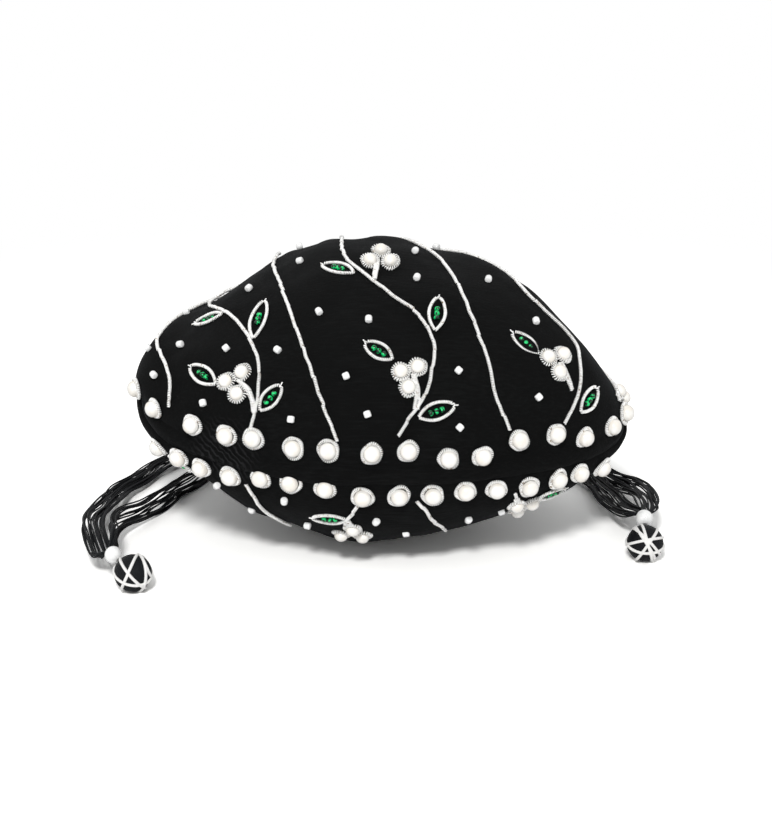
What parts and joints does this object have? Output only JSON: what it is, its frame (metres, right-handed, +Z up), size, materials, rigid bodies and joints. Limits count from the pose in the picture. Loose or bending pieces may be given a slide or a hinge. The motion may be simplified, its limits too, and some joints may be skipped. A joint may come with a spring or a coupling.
{
  "type": "potli bag",
  "caption": "Stuffed velvet potli pouch lying on its back panel, with a gathered drawstring mouth, rows of pearl buttons, wire embroidery, and two thread drawstrings that end in beads and balls",
  "frame": {"origin": "On the floor, under the middle of the bag's bounding box without its free drawstrings", "axes": "+Z is up, +X runs along the bottom fold to the right end, and +Y points from the bottom fold to the gathered mouth"},
  "size_m": [0.2179, 0.1861, 0.1117],
  "materials": {
    "velvet": "matt pile",
    "satin": "soft sheen",
    "thread": "satin",
    "pearl": "pearly gloss",
    "silver": "coiled wire"
  },
  "bodies": {
    "root": {"bag_shell": "velvet", "bag_lining": "satin", "channel_cord_left": "thread", "drawstring_left_a": "thread", "drawstring_left_b": "thread", "tassel_bead_left": "pearl", "tassel_ball_left": "thread", "channel_cord_right": "thread", "drawstring_right_a": "thread", "drawstring_right_b": "thread", "tassel_bead_right": "pearl", "tassel_ball_right": "thread", "pearl_top_01": "pearl", "pearl_top_02": "pearl", "pearl_top_03": "pearl", "pearl_top_04": "pearl", "pearl_top_05": "pearl", "pearl_top_06": "pearl", "pearl_top_07": "pearl", "pearl_top_08": "pearl", "pearl_top_09": "pearl", "pearl_top_10": "pearl", "pearl_top_11": "pearl", "pearl_top_12": "pearl", "pearl_top_13": "pearl", "pearl_top_14": "pearl", "pearl_top_15": "pearl", "pearl_top_16": "pearl", "pearl_bottom_01": "pearl", "pearl_bottom_02": "pearl", "pearl_bottom_03": "pearl", "pearl_bottom_04": "pearl", "pearl_bottom_05": "pearl", "pearl_bottom_06": "pearl", "pearl_bottom_07": "pearl", "pearl_bottom_08": "pearl", "pearl_bottom_09": "pearl", "pearl_bottom_10": "pearl", "pearl_bottom_11": "pearl", "pearl_bottom_12": "pearl", "pearl_bottom_13": "pearl", "pearl_bottom_14": "pearl", "pearl_bottom_15": "pearl", "pearl_bottom_16": "pearl", "braid_top_1": "silver", "braid_top_2": "silver", "braid_top_3": "silver", "braid_top_4": "silver", "braid_bottom_1": "silver", "vine_top_1": "silver", "vine_bottom_1": "silver", "vine_top_2": "silver", "vine_bottom_2": "silver", "vine_top_3": "silver", "vine_bottom_3": "silver"}
  },
  "joints": []
}
